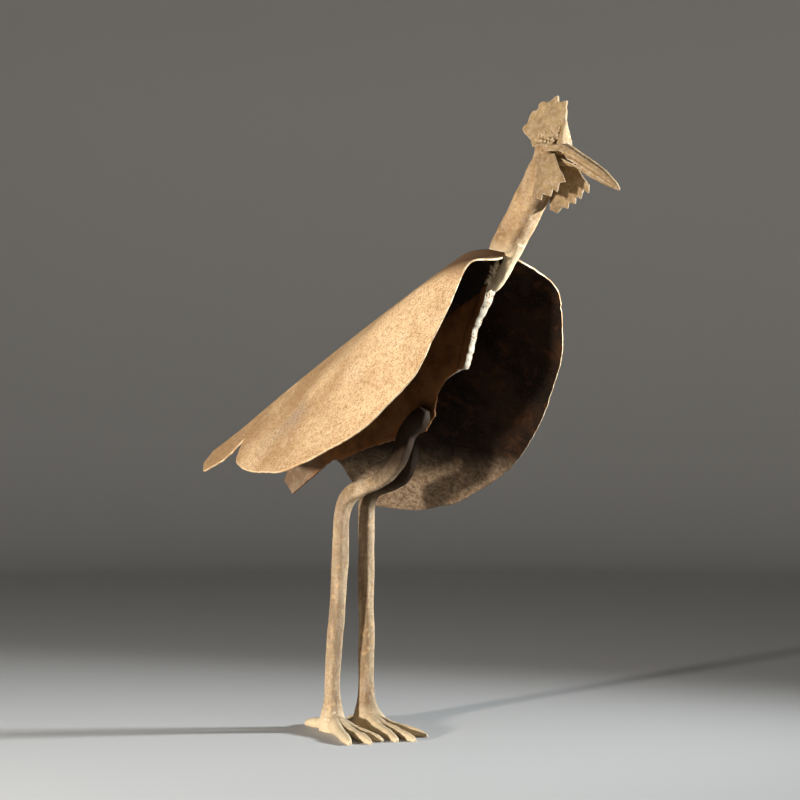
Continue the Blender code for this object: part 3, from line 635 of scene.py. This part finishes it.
# The forged bars
RUBBED_IRON = (0.62, 0.52, 0.38)
# Pale iron: painted light where the lamps catch the tops of the feet and the neck's tongue.
PAINTED_LIT_IRON = (0.70, 0.56, 0.36)
PAINTED_THIGH_SHADE = (0.017, 0.0085, 0.004)
NECK_TAN, NECK_BROWN = (0.345, 0.232, 0.125), (0.215, 0.130, 0.062)
HEAD_TAN, HEAD_BROWN = (0.265, 0.185, 0.092), (0.195, 0.130, 0.064)
RIGHT_TAN, RIGHT_BROWN = (0.42, 0.315, 0.195), (0.21, 0.15, 0.09)
# The left leg's tan and brown are a darker copy of the right's: painted shade of the right leg falling on it.
LEFT_TAN, LEFT_BROWN = (0.38, 0.28, 0.17), (0.18, 0.125, 0.073)
# Heights in metres: painted light below the first, painted shade from the second upwards, and how far each
# takes to fade.
FEET_PALE, PALE_FADE = 0.030, 0.026
TONGUE_PALE = 0.480
ABOVE_ALL, DARK_FADE = 9.0, 0.042


def sheet_outside():
    """Golden rust with brown specks, painted shade browning the ridge and the nose, and a grey bruise on the
    right.
    """
    rust = Finish("rusted sheet outside")
    tone = rust.noise(70.0, 3.0, 0.5)
    drift = rust.noise(21.0, 4.0, 0.62, twist=0.5)
    mottle = rust.noise(3.8, 3.0, 0.65)
    speck = rust.noise(1.6, 2.0, 0.6, shift=0.3)
    bruise = rust.near(BRUISE, 0.004, 0.034) * drift.between(0.34, 0.52)
    trail = rust.near(BRUISE_TRAIL, 0.004, 0.036) * mottle.between(0.36, 0.58)
    # Painted shade: the nose's front band, turned away from the key light, painted dark brown.
    nose = rust.along("X").between(0.062, 0.098) * rust.along("Z").between(0.432, 0.454)
    aside = rust.along("Y")
    # Painted shade: darker brown near the ridge, broken up by noise.
    ridge = (1.0 - (aside * aside).between(0.0001, 0.0042)) * drift.between(0.30, 0.60)
    colour = rust.mix(tone.between(0.34, 0.64), OCHRE, GOLD)
    colour = rust.mix(drift.between(0.50, 0.72) * 0.5, colour, STRAW)
    colour = rust.mix(ridge * 0.5, colour, PAINTED_RIDGE_SHADE)
    colour = rust.mix(bruise * 0.85 + trail * 0.5, colour, ASH)
    colour = rust.mix(nose * 0.85, colour, PAINTED_NOSE_SHADE)
    colour = rust.mix(mottle.between(0.47, 0.64) * 0.40, colour, UMBER)
    colour = rust.mix(speck.between(0.49, 0.63) * 0.60, colour, UMBER)
    colour = rust.mix((1.0 - rust.kept("from_edge").between(0.2, 1.0)) * 0.4, colour, STRAW)
    normal = rust.bump(mottle * 0.6 + speck * 0.4, 0.26)
    return rust.done(colour, 0.62 + 0.22 * mottle, 0.1, normal)


def sheet_inside():
    """Painted shade under the ridge, dark chestnut to near black with reddish patches, and grey mottled rust
    along the lower edge.
    """
    rust = Finish("rusted sheet inside")
    tone = rust.noise(48.0, 4.0, 0.6)
    flame = rust.noise(16.0, 4.0, 0.68, twist=0.6)
    mottle = rust.noise(5.2, 3.0, 0.65)
    speck = rust.noise(2.0, 2.0, 0.6, shift=0.3)
    # Painted shadow: above this tilted line, where the near wing's shadow falls, the inside is painted near
    # black; below it shows its lit rust.
    low = 1.0 - (rust.along("Z") + 0.04 * tone + 0.09 * rust.along("X")).between(0.262, 0.306)
    deep = rust.mix(tone.between(0.44, 0.66), PAINTED_SHADE_BLACK, PAINTED_SHADE_BROWN)
    deep = rust.mix(flame.between(0.50, 0.72) * 0.5, deep, PAINTED_SHADE_RED)
    pale = rust.mix(mottle.between(0.36, 0.64), SKIRT_BROWN, SKIRT_GREY)
    pale = rust.mix(flame.between(0.50, 0.70) * 0.45, pale, SKIRT_TAN)
    colour = rust.mix(low, deep, pale)
    colour = rust.mix(speck.between(0.52, 0.66) * 0.55, colour, SOOT)
    normal = rust.bump(mottle * 0.65 + speck * 0.35, 0.3)
    return rust.done(colour, 0.70 + 0.2 * mottle, 0.0, normal)


def sheet_edge():
    """The cut edge, rubbed lighter with rust left in its hollows."""
    rust = Finish("worn sheet edge")
    patch = rust.noise(6.0, 3.0, 0.6)
    colour = rust.mix(patch.between(0.40, 0.64), CUT_TAN, CUT_BROWN)
    return rust.done(colour, 0.5 + 0.25 * patch, 0.2, rust.bump(patch, 0.2))


def plate_side():
    """Chestnut brown under the wings, grey tan on the tail feather."""
    rust = Finish("dark plate")
    tone = rust.noise(34.0, 4.0, 0.6)
    flame = rust.noise(12.0, 4.0, 0.65, twist=0.5)
    mottle = rust.noise(3.8, 3.0, 0.65)
    speck = rust.noise(1.7, 2.0, 0.6, shift=0.3)
    tail = 1.0 - rust.along("X").between(-0.135, -0.085)
    colour = rust.mix(tone.between(0.38, 0.62), CHESTNUT, BELLY_BROWN)
    colour = rust.mix(flame.between(0.50, 0.70) * 0.6, colour, EMBER)
    colour = rust.mix(mottle.between(0.55, 0.70) * 0.45, colour, SOOT)
    grey = rust.mix(flame.between(0.42, 0.60), TAIL_BROWN, TAIL_GREY)
    grey = rust.mix(speck.between(0.48, 0.66) * 0.5, grey, UMBER)
    colour = rust.mix(tail, colour, grey)
    normal = rust.bump(mottle, 0.25)
    return rust.done(colour, 0.68 + 0.18 * mottle, 0.1, normal)


def plate_edge():
    """Dark round the belly and the tail, bare and pitted where it was cut in front."""
    rust = Finish("plate edge")
    patch = rust.noise(5.0, 3.0, 0.62)
    pits = rust.noise(2.3, 2.0, 0.5, shift=0.2).between(0.56, 0.66)
    front = rust.along("X").between(0.066, 0.088)
    top = rust.along("Z").between(0.405, 0.440)
    dark = rust.mix(patch.between(0.40, 0.62), UMBER, CHESTNUT)
    bright = rust.mix(patch.between(0.46, 0.66) * 0.7, FRONT_SILVER, FRONT_TAN)
    bright = rust.mix(top * patch.between(0.40, 0.56) * 0.7, bright, OCHRE)
    bright = rust.mix(pits * 0.85, bright, UMBER)
    colour = rust.mix(front, dark, bright)
    return rust.done(colour, 0.5 + 0.25 * patch, 0.2, rust.bump(patch - 0.7 * pits, 0.5))


def forged_iron(name, lengths, light, deep, bloom, grain, hollow, painted_shade_from=ABOVE_ALL, painted_light_below=FEET_PALE):
    """Hammered bar, tan with grey streaks, rubbed edges and dark hollows, with painted shade high up and
    painted light low down.
    """
    iron = Finish(name)
    tone = iron.noise(17.0, 3.0, 0.55, lengths)
    streak = iron.noise(4.6, 3.0, 0.62, lengths, shift=0.4)
    mottle = iron.noise(2.6, 3.0, 0.65)
    pits = iron.noise(2.2, 2.0, 0.5, shift=0.2).between(0.62, 0.72)
    swell = iron.kept("swell")
    colour = iron.mix(tone.between(0.36, 0.62), deep, light)
    colour = iron.mix(streak.between(0.46, 0.64) * 0.5, colour, ASH)
    colour = iron.mix(iron.noise(9.0, 3.0, 0.6, shift=0.7).between(0.54, 0.68) * bloom, colour, CLAY)
    colour = iron.mix(mottle.between(0.46, 0.64) * grain, colour, UMBER)
    colour = iron.mix(swell.between(0.03, 0.22) * 0.4, colour, RUBBED_IRON)
    colour = iron.mix((1.0 - swell.between(-0.20, -0.03)) * hollow, colour, UMBER)
    colour = iron.mix(pits * 0.55, colour, UMBER)
    # Painted light: below this height the bar is paler, standing for the light on the feet's tops and on the
    # tongue.
    low = 1.0 - iron.along("Z").between(painted_light_below - PALE_FADE, painted_light_below)
    colour = iron.mix(low * 0.6, colour, PAINTED_LIT_IRON)
    # Painted shade: from this height up the bar turns near black, standing for the near wing's shadow on the
    # thighs.
    high = iron.along("Z").between(painted_shade_from, painted_shade_from + DARK_FADE)
    colour = iron.mix(high * 0.98, colour, PAINTED_THIGH_SHADE)
    height = streak * 0.35 + mottle * 0.45 - 0.5 * pits
    return iron.done(colour, 0.62 + 0.22 * mottle, 0.08, iron.bump(height, 0.36))


OUTSIDE = sheet_outside()
INSIDE = sheet_inside()
RIM = sheet_edge()
PLATE = plate_side()
PLATE_RIM = plate_edge()
NECK_IRON = forged_iron(
    "forged neck", (1.6, 1.0, 2.6), NECK_TAN, NECK_BROWN,
    bloom=0.45, grain=0.45, hollow=0.6, painted_light_below=TONGUE_PALE
)
HEAD_IRON = forged_iron(
    "cut and forged head", (1.0, 1.0, 1.0), HEAD_TAN, HEAD_BROWN,
    bloom=0.25, grain=0.30, hollow=0.4
)
# Painted shade on the right thigh from 0.233 m up, where the near wing's shadow falls.
RIGHT_IRON = forged_iron(
    "forged right leg", (1.0, 1.0, 6.0), RIGHT_TAN, RIGHT_BROWN,
    bloom=0.60, grain=0.50, hollow=0.7, painted_shade_from=0.233
)
# The left leg's darker copy: painted shade from the right leg, with its painted thigh shade starting lower, at
# 0.208 m.
LEFT_IRON = forged_iron(
    "forged left leg", (1.0, 1.0, 6.0), LEFT_TAN, LEFT_BROWN,
    bloom=0.60, grain=0.55, hollow=0.7, painted_shade_from=0.208
)


# The pieces

def ragged(outline, depth, size):
    """An outline whose points wander a little, as after a cutting torch."""
    wandered = []
    for x, y in outline:
        at = Vector((x, y, 0.0)) / size
        aside = noise.noise(at + Vector((0.0, 0.0, 7.3)))
        above = noise.noise(at + Vector((0.0, 0.0, 2.1)))
        wandered.append((x + depth * aside, y + depth * above))
    return wandered


def nicked(outline, nicks):
    """Small bites out of an outline: x, y, how deep and how wide."""
    middle = np.mean(outline, axis=0)
    bitten = []
    for point in outline:
        p = np.array(point)
        for x, y, deep, wide in nicks:
            near = max(0.0, 1.0 - np.hypot(p[0] - x, p[1] - y) / wide)
            p = p + (middle - p) / np.linalg.norm(middle - p) * deep * near
        bitten.append(tuple(p))
    return bitten


def folded_sheet():
    outline = half_outline(-1, RIGHT_EDGE, RIGHT_REAR) + half_outline(1, LEFT_EDGE, LEFT_REAR)[:0:-1]
    outline = nicked(ragged(walk(outline, step=2.6), depth=0.7, size=9.0), SHEET_NICKS)
    inner = inner_points(outline, rings=(0.45, 1.1, 2.8), grid=SHEET_GRAIN, margin=4.6)

    def half(points, reach):
        near = 1.0 - np.clip(reach / SHEET_ROUND_FROM, 0.0, 1.0)
        return (SHEET_THICKNESS / 2 - SHEET_ROUNDING * near**2) * MM

    bm = plate_skin(outline, inner, on_sheet, half)
    settle("folded_sheet", bm, (OUTSIDE, INSIDE, RIM), "back_and_wings")


def upright_plate():
    u = np.concatenate([np.linspace(370.0, NOSE_START, 8), np.linspace(NOSE_START, 20.0, 40)[1:]])
    top = list(zip(u, ridge_arch(u) - nose_drop(u, 0.0 * u) - SHEET_THICKNESS / 2 - PLATE_AIR))
    lower = walk(LOWER_TAIL + BELLY + PLATE_FRONT, step=1.8)[:-1]
    outline = walk(top, step=2.6)[:-1] + ragged(lower, depth=1.1, size=5.0)
    front = smooth_line([(*p, 0.0) for p in PLATE_FRONT], count=60)[:, :2]
    inner = inner_points(outline, rings=(0.6, 1.5, 3.0), grid=PLATE_GRAIN, margin=4.0)

    def place(points):
        flat = np.column_stack([points, 0.0 * points[:, 0]])
        placed = side_place(points[:, 0], points[:, 1])
        placed[:, 1] += 0.5 * waves(flat, 60.0, 2.0)
        return in_hen(placed), np.tile([0.0, 1.0, 0.0], (len(points), 1))

    def half(points, reach):
        away = np.linalg.norm(points[:, None, :] - front[None], axis=2).min(1)
        thick = FRONT_THICKNESS + FRONT_THICKENS * ease(points[:, 0], front[25][0], front[-1][0])
        thick = thick + 1.2 * waves(np.column_stack([points, 0 * away]), 7.0, 4.0)
        thin = ease(away, *THICK_REACH)
        full = (thick + (PLATE_THICKNESS - thick) * thin) / 2
        near = 1.0 - np.clip(reach / PLATE_ROUND_FROM, 0.0, 1.0)
        rounding = PLATE_ROUNDING * near**2 * (1.0 + (thick - PLATE_THICKNESS) * (1.0 - thin) / 9.0)
        return np.maximum(full - rounding, 0.5) * MM

    bm = plate_skin(outline, inner, place, half)
    settle("upright_plate", bm, (PLATE, PLATE, PLATE_RIM), "body_plate")


def neck_rings(rows, count, sides):
    """Rings square to a rising bar: rows are x, z, rise and the fore and side halves."""
    rings = []
    for x, z, _, rise, fore, side in smooth_line([(x, z, 0.0, *rest) for x, z, *rest in rows], count):
        lift = math.radians(rise)
        ring = []
        for k in range(sides):
            c, s = math.cos(math.tau * k / sides), math.sin(math.tau * k / sides)
            corner = (abs(c)**NECK_SQUARENESS + abs(s)**NECK_SQUARENESS) ** (1.0 / NECK_SQUARENESS)
            flat = NECK_FLATTED / corner
            ahead = fore * flat * c
            place = x + ahead * math.sin(lift), side * flat * s, z - ahead * math.cos(lift)
            ring.append(Vector(in_hen(place)))
        rings.append(ring)
    return rings


def neck_bar():
    bm = bmesh.new()
    add_shell(bm, neck_rings(NECK, count=60, sides=40))
    add_shell(bm, neck_rings(TONGUE, count=24, sides=20))
    for side in (-1, 1):
        weld_bead(bm, on_side(NECK_SEAM, side), size=2.2, drops=17, seed=3 + side)
        weld_bead(bm, on_side(NECK_SEAM_REAR, side), size=1.8, drops=12, seed=13 + side)
    bm = melt(bm, voxel=0.8)
    hammer(bm, [(19.0, 0.45, 2.0), (9.0, 0.30, 0.0), (3.6, 0.16, 7.0)])
    peck(bm, NECK_PITS)
    settle("neck_bar", bm, (NECK_IRON,), "neck")


def on_middle(points):
    """Points at drawn x and z, and their normals, on the hen's middle plane."""
    placed = np.column_stack([points[:, 0], 0.0 * points[:, 0], points[:, 1]])
    return in_hen(placed), np.tile([0.0, 1.0, 0.0], (len(points), 1))


def comb_plate():
    outline = walk(COMB, step=1.2)
    inner = inner_points(outline, rings=(0.6,), grid=1.6, margin=1.6)

    def half(points, reach):
        near = 1.0 - np.clip(reach / COMB_ROUND_FROM, 0.0, 1.0)
        return (COMB_HALF - COMB_ROUNDING * near) * MM

    bm = plate_skin(outline, inner, on_middle, half)
    wedge = []
    for z, rear, front, wide in COMB_WEDGE:
        narrow = 0.55 * wide
        corners = [(rear, -narrow), (front, -wide), (front + 0.4, 0.0), (front, wide), (rear, narrow)]
        wedge.append([Vector(in_hen((x, y, z))) for x, y in corners])
    add_shell(bm, wedge)
    for side in (-1, 1):
        root = on_side(COMB_SEAM, side)
        above = [(x, y * 0.6, z + 5) for x, y, z in root[1:]]
        weld_bead(bm, root, size=2.2, drops=26, seed=5 + side)
        weld_bead(bm, above, size=1.9, drops=14, seed=15 + side)
        weld_bead(bm, on_side(WEDGE_SEAM, side), size=1.4, drops=14, seed=8 + side)
    bm = melt(bm, voxel=0.55, smoothing=1)
    hammer(bm, [(9.0, 0.22, 0.0), (2.4, 0.12, 7.0)])
    peck(bm, COMB_PITS)
    settle("comb_plate", bm, (HEAD_IRON,), "comb")


def split_beak():
    section = BEAK_SECTION + [(-aside, up) for aside, up in BEAK_SECTION[::-1]]
    rows = smooth_line([(*upper, 0.0, *lower, wide) for upper, lower, wide in BEAK], count=30)
    rings = []
    for top_x, top_z, _, low_x, low_z, wide in rows:
        ring = []
        for aside, up in section:
            place = low_x + (top_x - low_x) * up, aside * wide, low_z + (top_z - low_z) * up
            ring.append(Vector(in_hen(place)))
        rings.append(ring)
    bm = bmesh.new()
    add_shell(bm, rings)
    body = loose_body("beak body", bm)
    split = plate_skin(BEAK_SPLIT, [], on_middle, lambda points, reach: np.full(len(points), SPLIT_REACH * MM))
    tool = loose_body("beak split", split)
    cut = body.modifiers.new("split", "BOOLEAN")
    cut.operation, cut.solver, cut.object = "DIFFERENCE", "EXACT", tool
    bm = bmesh.new()
    bm.from_mesh(body.evaluated_get(bpy.context.evaluated_depsgraph_get()).to_mesh())
    for made in (body, tool):
        bpy.data.objects.remove(made, do_unlink=True)
    bm = melt(bm, voxel=0.55, smoothing=1)
    hammer(bm, [(8.0, 0.22, 0.0), (2.5, 0.08, 7.0)])
    settle("split_beak_bar", bm, (HEAD_IRON,), "beak")


def wattle(name, node, side, drawn):
    """A serrated sheet that leaves the neck's side at its rear and stands out in front."""
    outline = walk(drawn, step=1.3)
    low, high = np.array(drawn).min(0), np.array(drawn).max(0)
    inner = inner_points(outline, rings=(0.5,), grid=1.8, margin=1.6)

    def place(points):
        down = (high[1] - points[:, 1]) / (high[1] - low[1])
        flat = np.column_stack([points, 0.0 * down])
        rear = 1.0 - ease(points[:, 0], low[0], low[0] + WATTLE_REAR)
        out = WATTLE_ROOT + WATTLE_SWING * np.sin(down * math.pi / 2) - WATTLE_TUCK * rear * np.sqrt(down)
        out = out + 0.4 * waves(flat, 12.0, 6.0)
        placed = np.column_stack([points[:, 0], side * out, points[:, 1]])
        return in_hen(placed), np.tile([0.0, 1.0, 0.0], (len(points), 1))

    bm = plate_skin(outline, inner, place, lambda points, reach: np.full(len(points), WATTLE_HALF * MM))
    bm = melt(bm, voxel=0.45, smoothing=1)
    hammer(bm, [(7.0, 0.20, 0.0), (2.2, 0.10, 7.0)])
    settle(name, bm, (HEAD_IRON,), node)


def leg(name, node, side, drawn, toes, cone, iron):
    """A forged bar from the plate down to its foot, with its toes and the welded cone round the ankle."""
    upright = Vector((0.0, 0.0, 1.0))
    across = Vector((0.0, 1.0, 0.0))
    rows = smooth_line([(x, side * y, z, depth, width) for x, y, z, depth, width in drawn], count=120)
    shank = ease(rows[:, 2], 8.0, 40.0) * (1.0 - ease(rows[:, 2], 215.0, 245.0))
    rows[:, 3] *= 1.0 - SHANK_FORE_LESS * shank
    rows[:, 4] *= 1.0 - SHANK_SIDE_LESS * shank
    bm = bmesh.new()
    add_shell(bm, bar_rings(rows, across, sides=32, squareness=3.2))
    foot, out = drawn[-1][0], side * drawn[-1][1]
    for tip in toes:
        length = np.hypot(*tip)
        drawn_toe = [(share * length, 0.0, 0.0, share, high, wide) for share, high, wide in TOE]
        toe = []
        for share, high, wide in smooth_line(drawn_toe, count=26)[:, 3:]:
            half = (high + TOE_SUNK) / 2
            toe.append((foot + tip[0] * share, out + tip[1] * share, half - TOE_SUNK, half, 0.90 * wide))
        aside = Vector((*tip, 0.0)).cross(upright).normalized()
        add_shell(bm, bar_rings(toe, aside, sides=24, squareness=1.75))
    skirt = [(foot + ahead, out, z, wide, 0.88 * wide) for ahead, z, wide in cone]
    add_shell(bm, bar_rings(skirt, across, sides=32))
    seam = [(foot + ahead, out - right, z) for ahead, right, z in ANKLE_SEAM]
    weld_bead(bm, seam, size=1.5, drops=26, seed=21)
    seam = [(foot + ahead, out - right, z) for ahead, right, z in ANKLE_SEAM_HIGH]
    weld_bead(bm, seam, size=1.2, drops=18, seed=31)
    bm = melt(bm, voxel=0.9)
    hammer(bm, [(21.0, 0.95, side), (9.0, 0.42, 3.0 + side), (4.0, 0.20, 7.0 + side)], grain=(1.0, 1.0, 2.2))
    for vertex in bm.verts:
        vertex.co.z = max(vertex.co.z, 0.0)
        beside = (vertex.co.y - FEET.y) / MM
        if vertex.co.z > ROOT_HEIGHT and beside * side < ROOT_SEAT:
            vertex.co.y = side * ROOT_SEAT * MM + FEET.y
    settle(name, bm, (iron,), node)


folded_sheet()
upright_plate()
neck_bar()
comb_plate()
split_beak()
wattle("near_wattle", "right_wattle", -1, RIGHT_WATTLE)
wattle("far_wattle", "left_wattle", 1, LEFT_WATTLE)
leg("right_leg_bar", "right_leg", -1, RIGHT_LEG, RIGHT_TOES, RIGHT_ANKLE, RIGHT_IRON)
leg("left_leg_bar", "left_leg", 1, LEFT_LEG, LEFT_TOES, LEFT_ANKLE, LEFT_IRON)


# The studio

FLOOR_GREY = (0.50, 0.49, 0.475, 1.0)
AIR_BLUE = (0.86, 0.90, 0.95, 1.0)
AIR_LIGHT = 0.05

CAMERA_PLACE = (1.1714, -1.2058, 0.2751)
CAMERA_WAY = (-0.6947, 0.7193, 0.0)
CAMERA_LENS = 76.5
CAMERA_SENSOR = 36.0
CAMERA_SHIFT = 0.07125


def round_backdrop():
    """A pale floor that turns up into a wall all round, through a rounded corner."""
    floor_end, corner, wall_top, sides = 2.4, 1.4, 4.0, 96
    profile = [(0.02, 0.0), (0.8, 0.0), (1.6, 0.0), (floor_end, 0.0)]
    for turn in np.linspace(0.1, math.pi / 2, 12):
        profile.append((floor_end + corner * math.sin(turn), corner - corner * math.cos(turn)))
    profile.append((floor_end + corner, wall_top))
    bm = bmesh.new()
    turns = np.arange(sides) / sides * math.tau
    rows = []
    for reach, high in profile:
        rows.append([bm.verts.new((reach * math.cos(turn), reach * math.sin(turn), high)) for turn in turns])
    bm.faces.new(rows[0])
    for row, above in zip(rows, rows[1:]):
        for k in range(sides):
            n = (k + 1) % sides
            bm.faces.new([row[n], row[k], above[k], above[n]])
    mesh = bpy.data.meshes.new("studio floor")
    bm.to_mesh(mesh)
    bm.free()
    mesh.shade_smooth()
    paint = bpy.data.materials.new("pale studio floor")
    paint.use_nodes = True
    surface = paint.node_tree.nodes["Principled BSDF"]
    surface.inputs["Base Color"].default_value = FLOOR_GREY
    surface.inputs["Roughness"].default_value = 0.9
    mesh.materials.append(paint)
    floor = bpy.data.objects.new("studio_floor", mesh)
    bpy.context.scene.collection.objects.link(floor)


def lamp(name, place, target, size, watts, colour, spread=180.0):
    """A round soft lamp that shines from place to target, with its spread in degrees."""
    light = bpy.data.lights.new(name, "AREA")
    light.shape = "DISK"
    light.size = size
    light.energy = watts
    light.color = colour
    light.spread = math.radians(spread)
    made = bpy.data.objects.new(name, light)
    made.location = place
    made.rotation_euler = (Vector(target) - Vector(place)).to_track_quat("-Z", "Y").to_euler()
    made.visible_camera = False
    bpy.context.scene.collection.objects.link(made)


def camera():
    lens = bpy.data.cameras.new("camera")
    lens.lens = CAMERA_LENS
    lens.sensor_width = CAMERA_SENSOR
    lens.shift_y = CAMERA_SHIFT
    made = bpy.data.objects.new("camera", lens)
    made.location = CAMERA_PLACE
    made.rotation_euler = Vector(CAMERA_WAY).to_track_quat("-Z", "Y").to_euler()
    bpy.context.scene.collection.objects.link(made)
    bpy.context.scene.camera = made


round_backdrop()
lamp("left key", (0.01, -1.80, 0.255), (-0.02, 0.0, 0.3), size=0.13, watts=58.0, colour=(1.0, 0.96, 0.90))
lamp("right rim", (1.20, 1.48, 0.70), (0.20, 0.0, 0.62), size=0.26, watts=20.0, colour=(0.88, 0.95, 1.0),
     spread=56.0)
lamp("high fill", (0.2, -0.4, 2.3), (0.0, 0.0, 0.3), size=1.8, watts=4.0, colour=(0.96, 0.98, 1.0))
camera()
world = bpy.data.worlds.new("studio air")
world.use_nodes = True
world.node_tree.nodes["Background"].inputs["Color"].default_value = AIR_BLUE
world.node_tree.nodes["Background"].inputs["Strength"].default_value = AIR_LIGHT
bpy.context.scene.world = world
bpy.context.scene.view_settings.view_transform = "Standard"
